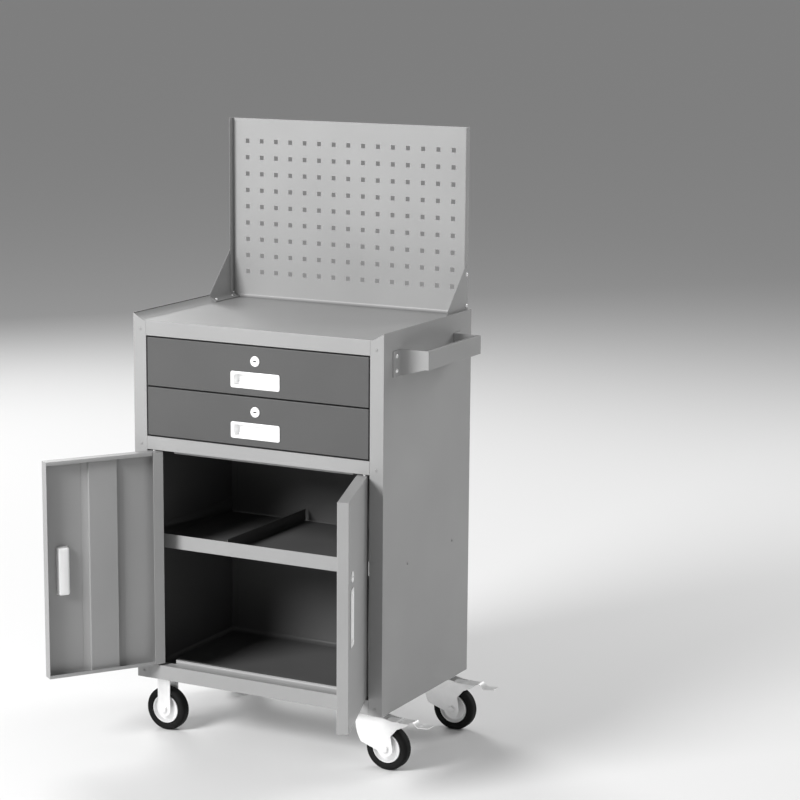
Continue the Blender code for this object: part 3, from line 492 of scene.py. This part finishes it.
shoulder = arc((TYRE_R - SHOULDER, TYRE_HALF - SHOULDER), SHOULDER, 90, 0, 8)
tyre_side = [(DISC_R + 0.3, 10.5), (DISC_R + 1.5, 12.6), (DISC_R + 3.5, 13.8)] + shoulder
tyre_side += [(TYRE_R, 2.0)]
lip = arc((DISC_R - 1.3, 11.7), 1.3, 0, 180, 6)
disc_side = [(5.4, 15.3), (9.9, 15.5), (10.8, 15.1), (11.2, 14.2), (11.6, 8.6), (12.6, 7.5),
             (15.0, 7.0), (24.5, 5.6), (27.0, 6.0), (29.0, 8.2)] + list(reversed(lip))
CORNERS = [depth + "_" + side for depth in ("front", "rear") for side in ("left", "right")]
for word in CORNERS:
    place = facing(spot_of("wheel_rim_" + word), (0, 1, 0))
    bm = bmesh.new()
    add_turned(bm, mirrored(tyre_side), place, WHEEL_STEPS, ring=True)
    piece("tyre_turned_" + word, bm, rubber_and_slot_shade, "wheel_" + word, ["tyre_" + word], smooth=30)
    bm = bmesh.new()
    add_turned(bm, mirrored(disc_side), place, WHEEL_STEPS, ring=True)
    piece("wheel_disc_" + word, bm, zinc, "wheel_" + word, ["wheel_rim_" + word], smooth=30)
print("turned", len(CORNERS), "tyres and discs")

# %% [markdown]
# The axle is a bolt with a hexagon head, a washer on each side and a lock nut. A hexagon is a
# six-sided cone of even width, whose edges are then bevelled.

# %% Axle bolt
AXLE_R = 5.0
AXLE_STEPS = 32
# What a washer and a nut take of the axle's length at each end.
AXLE_END = 6.0
WASHER_T = 1.2
WASHER = [(0, 0), (8.4, 0), (8.8, 0.3), (8.8, 0.9), (8.4, WASHER_T), (0, WASHER_T)]
NUT_CORNER_R = 8.4
NUT_T = 3.6
NUT_BREAK = 0.5


def add_nut(bm, place):
    """A hexagon nut or head with broken edges."""
    nut = bmesh.new()
    bmesh.ops.create_cone(nut, cap_ends=True, segments=6, radius1=NUT_CORNER_R,
                          radius2=NUT_CORNER_R, depth=NUT_T,
                          matrix=Matrix.Translation((0, 0, NUT_T / 2)))
    bmesh.ops.bevel(nut, geom=nut.edges[:], affect="EDGES", offset=NUT_BREAK, offset_type="OFFSET",
                    segments=2, profile=0.5, material=-1, clamp_overlap=True)
    add_to(bm, nut, place)


for word in CORNERS:
    middle = spot_of("axle_" + word)
    low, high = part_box("axle_" + word)
    reach = (high.y - low.y) / MM / 2 - AXLE_END
    bm = bmesh.new()
    rod = [(0, -reach), (AXLE_R, -reach), (AXLE_R, reach), (0, reach)]
    add_turned(bm, rod, facing(middle, (0, 1, 0)), AXLE_STEPS)
    for sign in (-1, 1):
        outer = middle + Vector((0, sign * reach, 0))
        add_turned(bm, WASHER, facing(outer, (0, sign, 0)), AXLE_STEPS)
        add_nut(bm, facing(outer + Vector((0, sign * WASHER_T, 0)), (0, sign, 0)))
    piece("axle_bolt_" + word, bm, zinc, BODY_OF["axle_" + word], ["axle_" + word], smooth=30)
print("axle bolts", len(CORNERS))

# %% [markdown]
# ### Rivets, bolts and screws
# Pop rivets hold the posts to the rails: a low dome with a small hollow where the pin broke off.
# Dome bolts hold the gussets and the handle, with a hollow for the driver. All heads of a kind on
# one body are one piece, as they are in the box they came from.

# %% Heads
RIVET = [(0, -0.2), (3.6, -0.2), (3.7, 0.2), (3.2, 0.9), (2.2, 1.3), (1.3, 1.35), (1.1, 0.5),
         (0, 0.5)]
BOLT = [(0, -0.2), (4.6, -0.2), (4.7, 0.5), (4.3, 1.7), (3.2, 2.6), (1.8, 3.0), (1.6, 1.4),
        (0, 1.2)]
SCREW = [(0, -0.2), (3.0, -0.2), (3.0, 0.4), (2.4, 1.2), (1.2, 1.5), (1.0, 0.7), (0, 0.6)]
HEAD_STEPS = 20


def heads(name, profile, spots, finish=zinc):
    """One piece of many heads. Each spot has the direction that its head faces."""
    bm = bmesh.new()
    for spot, direction in spots:
        add_turned(bm, profile, facing(spot, direction), HEAD_STEPS)
    piece(name, bm, finish, "chest", smooth=40)
    print(name, len(spots))


SIDES = (-1, 1)
# Rivets sit a little under the middle of the base, middle and top rails.
RAIL_HEIGHTS = (14, 542, 800)
RIVET_INSET = 18
POST_X = HALF_W - RIVET_INSET
heads("post_rivets", RIVET, [((sign * POST_X, 0, height), (0, -1, 0))
                             for sign in SIDES for height in RAIL_HEIGHTS], body_grey)
BOARD_SIDE = (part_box("gusset_right")[1].x - START.x) / MM
GUSSET_BOLT_Y = 403.5
GUSSET_BOLT_HEIGHTS = (843.5, 913.5)
heads("gusset_bolts", BOLT, [((sign * BOARD_SIDE, GUSSET_BOLT_Y, height), (sign, 0, 0))
                             for sign in SIDES for height in GUSSET_BOLT_HEIGHTS])
# The gusset's foot lies on the tray's sloping lip, which rises by one size over the other.
LIP_RISE = 15.0
LIP_RUN = 25.7
LIP_TILT = math.atan2(LIP_RISE, LIP_RUN)
FOOT_X = 295.5
FOOT_HEIGHT = 826.0
FOOT_YS = (321, 391)
heads("gusset_foot_screws", SCREW,
      [((sign * FOOT_X, y, FOOT_HEIGHT), (-sign * math.sin(LIP_TILT), 0, math.cos(LIP_TILT)))
       for sign in SIDES for y in FOOT_YS])
# The handle's flanges lie on the right side panel, with a small gap between them.
HANDLE_SHEET = 1.5
HANDLE_GAP = 0.3
HANDLE_FACE = HALF_W + HANDLE_SHEET + HANDLE_GAP
HANDLE_BOLT_YS = (54, 348)
HANDLE_BOLT_HEIGHTS = (750, 781)
heads("handle_bolts", BOLT, [((HANDLE_FACE, y, height), (1, 0, 0))
                             for y in HANDLE_BOLT_YS for height in HANDLE_BOLT_HEIGHTS])
# Distance from the front, and height.
SHELF_SCREWS = ((115, 316), (331, 322))
heads("shelf_screws", SCREW, [((sign * HALF_W, y, height), (sign, 0, 0))
                              for sign in SIDES for y, height in SHELF_SCREWS], body_grey)
BACK_SCREW_X = 303
BACK_HEIGHTS = (14, 285, 542, 800)
heads("back_screws", SCREW, [((sign * BACK_SCREW_X, DEPTH, height), (0, 1, 0))
                             for sign in SIDES for height in BACK_HEIGHTS])

# %% [markdown]
# ### Cylinder locks
# A cylinder lock is a turned head with a barrel behind it, and a plug that turns in the head. The
# key slot is deep, so shade makes it look black however bright the plate is. A ring of the plug's
# face is bridged from its round edge to the slot's edge, and the slot is then drawn inwards. That
# shade is painted: the slot's walls and floor take the tyres' black. A real lock holds no rubber.

# %% Lock head and plug
HEAD_R = 11.5
PLUG_R = 6.0
BARREL_R = 9.0
BORE_GAP = 0.3
FACE_Z = 2.2
SLOT_L = 8.6
SLOT_W = 2.6
SLOT_DEPTH = 9.0
# The walls and floor of the slot lie between these two heights.
SLOT_TOP = 1.5
SLOT_BELOW = -8
CAM_T = 1.8
CAM_R = 5.0


def head_profile(back):
    """The head's flat rim and its round shoulder, and the barrel down to its back end."""
    bore = PLUG_R + BORE_GAP
    barrel = [(bore, back), (BARREL_R, back), (BARREL_R, 0.3), (HEAD_R, 0.3)]
    return barrel + arc((HEAD_R - 1.2, 1.3), 1.2, 0, 90, 6) + [(bore + 0.6, 2.5), (bore, 2.0)]


def add_plug(bm, length):
    """The plug's round face with its key slot, and the plug's body behind it."""
    plug = bmesh.new()
    bmesh.ops.create_circle(plug, segments=48, radius=PLUG_R,
                            matrix=Matrix.Translation((0, 0, FACE_Z)))
    rim = plug.edges[:]
    slot = bmesh.ops.create_circle(plug, segments=24, radius=0.5,
                                   matrix=Matrix.Translation((0, 0, FACE_Z)))["verts"]
    for vert in slot:
        half = (SLOT_L - SLOT_W) / 2
        vert.co.x = vert.co.x * SLOT_W + math.copysign(half, vert.co.x)
        vert.co.y *= SLOT_W
    inner = list({edge for vert in slot for edge in vert.link_edges})
    bmesh.ops.bridge_loops(plug, edges=rim + inner)
    for edges, drop in ((inner, SLOT_DEPTH), (rim, length)):
        made = bmesh.ops.extrude_edge_only(plug, edges=edges)["geom"]
        moved = [item for item in made if isinstance(item, bmesh.types.BMVert)]
        bmesh.ops.translate(plug, verts=moved, vec=(0, 0, -drop))
        bottom = [item for item in made if isinstance(item, bmesh.types.BMEdge)]
        bmesh.ops.contextual_create(plug, geom=bottom)
    # The slot's walls and floor take the second finish, black, as painted shade.
    for face in plug.faces:
        spot = face.calc_center_median()
        near_axis = math.hypot(spot.x, spot.y) < PLUG_R - 1
        face.material_index = int(near_axis and SLOT_BELOW < spot.z < SLOT_TOP)
    add_to(bm, plug, Matrix.Identity(4))


def add_cam(bm, low, high):
    """The cam: a flat strip with round corners, between two corners of its box."""
    cam = bmesh.new()
    bmesh.ops.create_cube(cam, size=1.0)
    bmesh.ops.scale(cam, vec=high - low, verts=cam.verts)
    bmesh.ops.translate(cam, vec=(low + high) / 2, verts=cam.verts)
    upright = [edge for edge in cam.edges
               if abs(edge.verts[0].co.z - edge.verts[1].co.z) > CAM_T / 2]
    bmesh.ops.bevel(cam, geom=upright, affect="EDGES", offset=CAM_R, offset_type="OFFSET",
                    segments=6, profile=0.5, material=-1)
    add_to(bm, cam, Matrix.Identity(4))


def lock(word, place, body, turning_body, plug_node, head_node):
    """One lock: the head rides on its panel, the plug and its cam on the lock's own body."""
    seen = [place.inverted() @ vert.co for vert in frame["nodes"][plug_node].data.vertices]
    low = Vector([min(point[axis] for point in seen) for axis in range(3)])
    high = Vector([max(point[axis] for point in seen) for axis in range(3)])
    high.z = low.z + CAM_T
    bm = bmesh.new()
    add_turned(bm, head_profile(high.z + 0.3), Matrix.Identity(4), 64, ring=True)
    piece("lock_head_" + word, bm, nickel, body, [head_node], place)
    bm = bmesh.new()
    add_plug(bm, FACE_Z - high.z)
    add_cam(bm, low, high)
    # The second finish paints the key slot black, as painted shade.
    piece("lock_face_" + word, bm, nickel, turning_body, [plug_node], place, second=rubber_and_slot_shade)
    print("lock", word, "with a cam that reaches", round(max(high.x, high.y), 1))


for level in ("upper", "lower"):
    spot = (Vector(JOINTS["drawer_lock_turn_" + level]["pos_m"]) - START) / MM
    spot.y = 0
    lock("drawer_" + level, AT_START @ facing(spot, (0, -1, 0)), "drawer_" + level,
         "drawer_lock_" + level, "drawer_lock_plug_" + level, "drawer_lock_body_" + level)
DOOR_LOCK = open_door(1).inverted() @ Vector(JOINTS["door_lock_turn"]["pos_m"])
DOOR_LOCK.y = 0
lock("door", open_door(1) @ facing(DOOR_LOCK, (0, -1, 0)), "door_right", "door_lock",
     "door_lock_plug", "door_lock_body")

# %% [markdown]
# ### Recessed pulls
# A pull is one plated pressing: a flat rim on the panel and a cup that the finger tips reach into.
# A rounded plate is inset again and again, each time to a smaller and deeper outline, so that the
# cup gets soft shoulders, steep walls and a round bottom. Then the sheet is given its thickness.

# %% Pull
PULL_L = 123.0
PULL_W = 36.0
PULL_FACE = 1.8
PULL_CORNER_R = 4.5
PULL_SHEET = 1.3
PULL_BREAK = 0.35
# An inset this small only adds a new outline, which is then scaled and moved.
NEW_OUTLINE = 0.01
PULLS = {"upper": "drawer_pull_upper", "lower": "drawer_pull_lower",
         "left": "door_pull_left", "right": "door_pull_right"}
# Length, width and height of the cup's outlines, from its mouth to its floor.
CUP = [(107.8, 25.8, 1.8), (106.9, 24.9, 1.5), (106.3, 24.3, 0.6), (106.0, 24.0, -12.5),
       (104.5, 22.5, -14.3), (101.0, 19.0, -15.0)]


def pull(word, place, body):
    """One pull, made lying on its back and then put in its place."""
    bm = bmesh.new()
    bmesh.ops.create_grid(bm, x_segments=1, y_segments=1, size=0.5)
    bmesh.ops.scale(bm, vec=(PULL_L, PULL_W, 1), verts=bm.verts)
    bmesh.ops.translate(bm, vec=(0, 0, PULL_FACE), verts=bm.verts)
    bmesh.ops.bevel(bm, geom=bm.verts[:], affect="VERTICES", offset=PULL_CORNER_R,
                    offset_type="OFFSET", segments=8, profile=0.5, material=-1)
    middle = bm.faces[:]
    last = (PULL_L, PULL_W, PULL_FACE)
    for outline in CUP:
        bmesh.ops.inset_region(bm, faces=middle, thickness=NEW_OUTLINE, depth=0.0,
                               use_even_offset=True, use_boundary=True)
        rim = middle[0].verts[:]
        bmesh.ops.scale(bm, vec=(outline[0] / last[0], outline[1] / last[1], 1), verts=rim)
        bmesh.ops.translate(bm, vec=(0, 0, outline[2] - last[2]), verts=rim)
        last = outline
    bm.normal_update()
    bmesh.ops.solidify(bm, geom=bm.faces[:], thickness=PULL_SHEET)
    corners = [edge for edge in bm.edges if edge.calc_face_angle() > SHARP]
    bmesh.ops.bevel(bm, geom=corners, affect="EDGES", offset=PULL_BREAK, offset_type="OFFSET",
                    segments=2, profile=0.5, material=-1, clamp_overlap=True)
    obj = piece("pull_" + word, bm, nickel, body, [PULLS[word]], place, smooth=50)
    print("pull", word, [round(size, 4) for size in obj.dimensions])


for level in ("upper", "lower"):
    spot = spot_of("drawer_pull_" + level)
    spot.y = 0
    pull(level, AT_START @ facing(spot, (0, -1, 0)), "drawer_" + level)
for side, word in ((-1, "left"), (1, "right")):
    spot = Vector((side * DOOR_LOCK.x, 0, spot_of("door_pull_" + word).z))
    upright = Matrix.Rotation(math.radians(90), 4, "Z")
    pull(word, open_door(side) @ facing(spot, (0, -1, 0)) @ upright, "door_" + word)

# %% [markdown]
# ## Camera, floor and light
# The camera is a long lens far away, a little above the tray and to the right. A big soft light
# stands in front and to the left, low enough that the front is brighter than the tray. A weaker
# one lights the right side, two more stand behind for whoever walks round, and a dim even surround
# fills the rest, so the pale floor falls away to grey far behind.

# %% Camera
# The camera's place, how far it looks down, and how far round to the right it stands.
CAMERA_SPOT = (2708.3, -4531.4, 1644.4)
CAMERA_DOWN = math.radians(11.34)
CAMERA_ROUND = math.radians(29.70)
camera_data = bpy.data.cameras.new("camera")
camera_data.lens = 111.67
camera_data.sensor_width = 36.0
camera_data.shift_x = 0.1188
camera_data.shift_y = 0.0457
camera_data.clip_end = 200.0
camera = bpy.data.objects.new("camera", camera_data)
bpy.context.collection.objects.link(camera)
camera.location = AT_START @ Vector(CAMERA_SPOT)
camera.rotation_euler = (math.radians(90) - CAMERA_DOWN, 0, CAMERA_ROUND)
bpy.context.scene.camera = camera
print("camera at", [round(value, 3) for value in camera.location])

# %% [markdown]
# The floor is one pale, dull plane. It is wide enough that its far edge lies well behind the chest.

# %% Floor
FLOOR_HALF = 90.0
bm = bmesh.new()
bmesh.ops.create_grid(bm, x_segments=1, y_segments=1, size=FLOOR_HALF)
floor_mesh = bpy.data.meshes.new("floor")
bm.to_mesh(floor_mesh)
bm.free()
floor = bpy.data.objects.new("floor", floor_mesh)
bpy.context.collection.objects.link(floor)
floor_paint, _, shader, _ = new_finish("pale_floor")
shader.inputs["Base Color"].default_value = linear("E6E6E6")
shader.inputs["Roughness"].default_value = 0.7
floor_mesh.materials.append(floor_paint)
print("floor laid")

# %% [markdown]
# Each light is a round soft box. It is placed by its direction from the middle of the chest and
# by its distance in metres, and it is turned to face that middle.

# %% Light
AIM_HEIGHT = 600
world = bpy.data.worlds.new("studio")
world.use_nodes = True
surround = world.node_tree.nodes["Background"]
surround.inputs["Color"].default_value = linear("EEEEEE")
surround.inputs["Strength"].default_value = 0.3
bpy.context.scene.world = world
bpy.context.scene.view_settings.view_transform = "Standard"


def soft_light(name, direction, distance, size, watts):
    """A round light that faces the middle of the chest."""
    data = bpy.data.lights.new(name, "AREA")
    data.shape = "DISK"
    data.size = size
    data.energy = watts
    lamp = bpy.data.objects.new(name, data)
    bpy.context.collection.objects.link(lamp)
    aim = AT_START @ Vector((0, 0, AIM_HEIGHT))
    lamp.location = aim + Vector(direction).normalized() * distance
    lamp.rotation_euler = (lamp.location - aim).to_track_quat("Z", "Y").to_euler()


soft_light("key_front_left", (-0.33, -0.90, 0.50), 5.0, 2.2, 318)
soft_light("fill_right", (0.95, -0.25, 0.30), 5.5, 2.6, 36)
soft_light("rear_left", (-0.75, 0.65, 0.50), 5.5, 2.6, 120)
soft_light("rear_right", (0.55, 0.85, 0.50), 5.5, 2.6, 110)
print("lit")

# %% [markdown]
# The new pieces must stay inside the imported model, or very near it.

# %% [markdown]
# The chest is complete.

# %% Done
print("chest complete")
